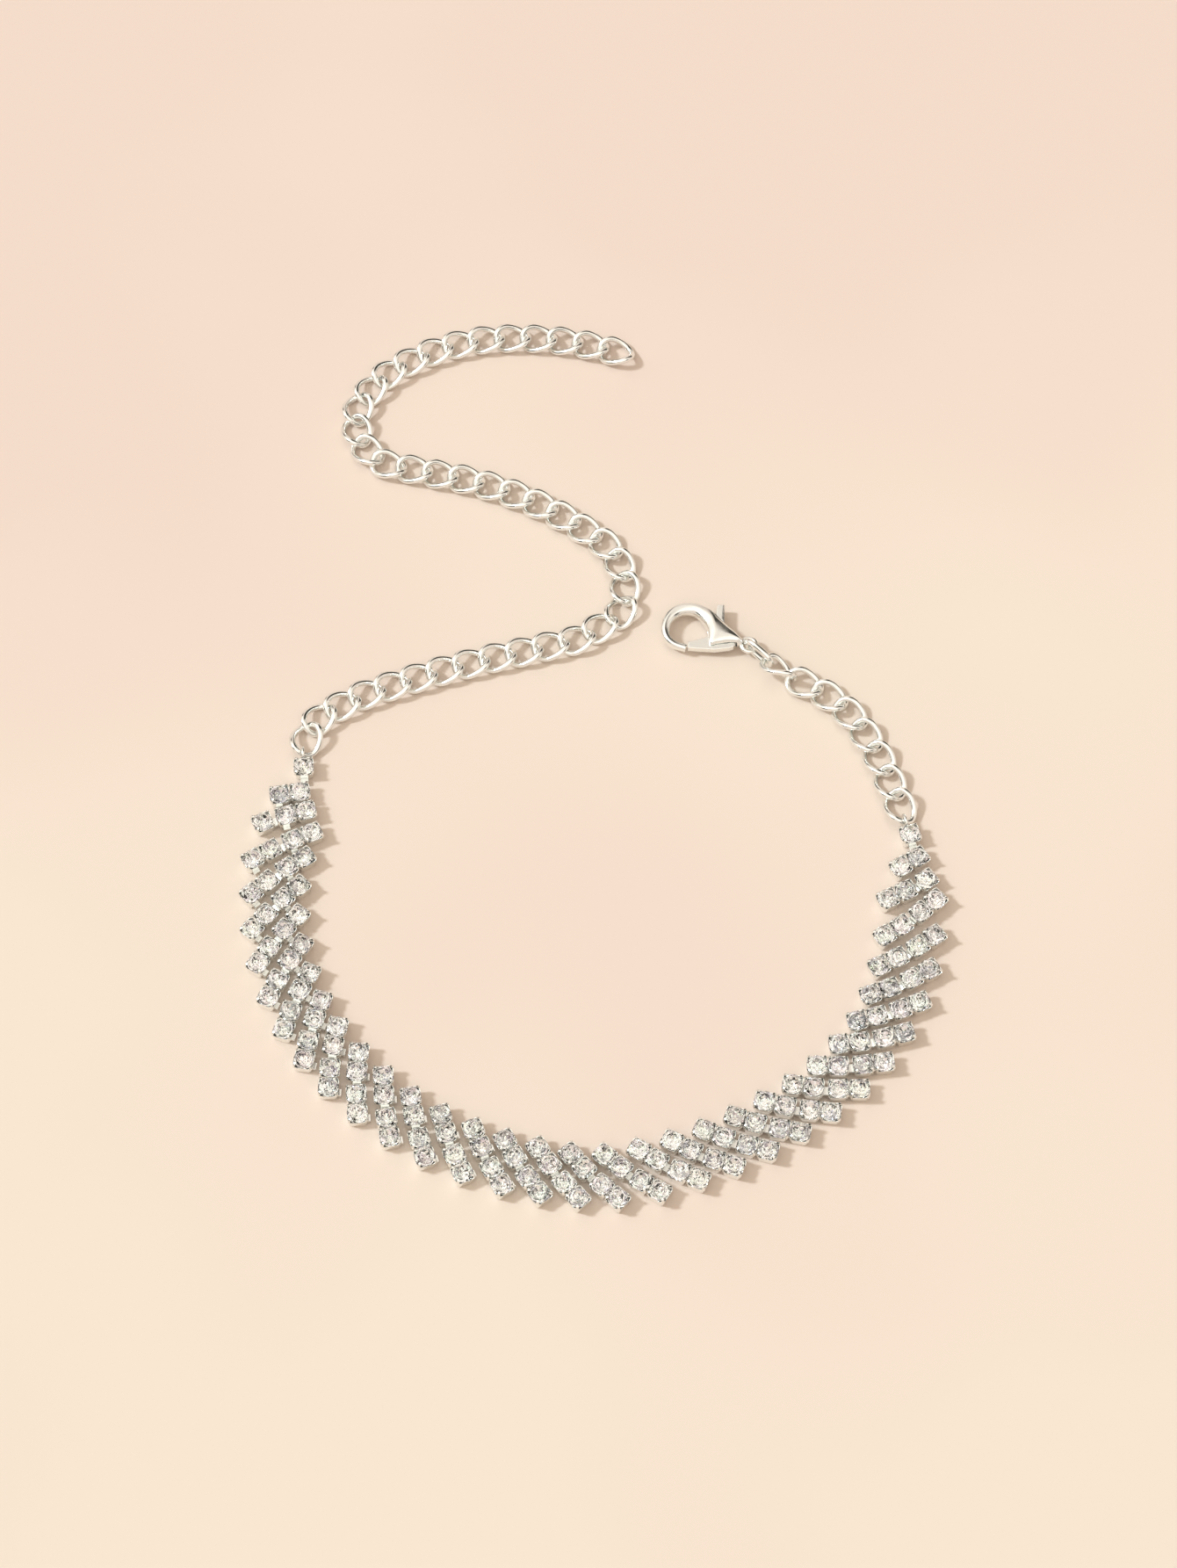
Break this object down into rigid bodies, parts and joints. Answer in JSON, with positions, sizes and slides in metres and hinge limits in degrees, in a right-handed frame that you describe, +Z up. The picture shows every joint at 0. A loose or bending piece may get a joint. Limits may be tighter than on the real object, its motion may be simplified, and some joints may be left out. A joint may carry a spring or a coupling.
{
  "type": "link bracelet",
  "caption": "Open claw-set rhinestone chain bracelet: slanting rows of square cups, a curb-link extender chain, a short chain and a lobster clasp with a sprung lever.",
  "frame": {"origin": "under the middle of the lying bracelet, on the surface that it rests on", "axes": "+Z up; +Y across the lying loop from the middle of its band towards its extender chain; +X towards the end that carries the clasp"},
  "size_m": [0.0838, 0.1206, 0.0032],
  "materials": {
    "silver_plate": "bright silver plate, polished",
    "set_rhinestones": "clear foiled rhinestones in bright silver-plated claw cups"
  },
  "bodies": {
    "bracelet": {"row_01": "set_rhinestones", "row_02": "set_rhinestones", "row_03": "set_rhinestones", "row_04": "set_rhinestones", "row_05": "set_rhinestones", "row_06": "set_rhinestones", "row_07": "set_rhinestones", "row_08": "set_rhinestones", "row_09": "set_rhinestones", "row_10": "set_rhinestones", "row_11": "set_rhinestones", "row_12": "set_rhinestones", "row_13": "set_rhinestones", "row_14": "set_rhinestones", "row_15": "set_rhinestones", "row_16": "set_rhinestones", "row_17": "set_rhinestones", "row_18": "set_rhinestones", "row_19": "set_rhinestones", "row_20": "set_rhinestones", "row_21": "set_rhinestones", "row_22": "set_rhinestones", "row_23": "set_rhinestones", "row_24": "set_rhinestones", "row_25": "set_rhinestones", "row_26": "set_rhinestones", "row_27": "set_rhinestones", "row_28": "set_rhinestones", "row_29": "set_rhinestones", "row_30": "set_rhinestones", "row_31": "set_rhinestones", "row_32": "set_rhinestones", "row_33": "set_rhinestones", "end_cup_extender": "set_rhinestones", "end_cup_clasp": "set_rhinestones", "extender_links_01": "silver_plate", "extender_links_02": "silver_plate", "extender_links_03": "silver_plate", "extender_links_04": "silver_plate", "extender_links_05": "silver_plate", "extender_links_06": "silver_plate", "extender_links_07": "silver_plate", "extender_links_08": "silver_plate", "extender_links_09": "silver_plate", "extender_links_10": "silver_plate", "short_links_01": "silver_plate", "short_links_02": "silver_plate", "connecting_link": "silver_plate", "clasp_body": "silver_plate"},
    "lever": {"clasp_lever": "silver_plate"}
  },
  "joints": [
    {"name": "lever_hinge", "type": "hinge", "parent": "bracelet", "child": "lever", "pos_m": [0.01613, 0.0144, 0.00125], "axis": [0, 0, -1], "range_deg": [0, 20], "stiffness_Nm_per_rad": 0.002, "springref_deg": -8.59}
  ]
}
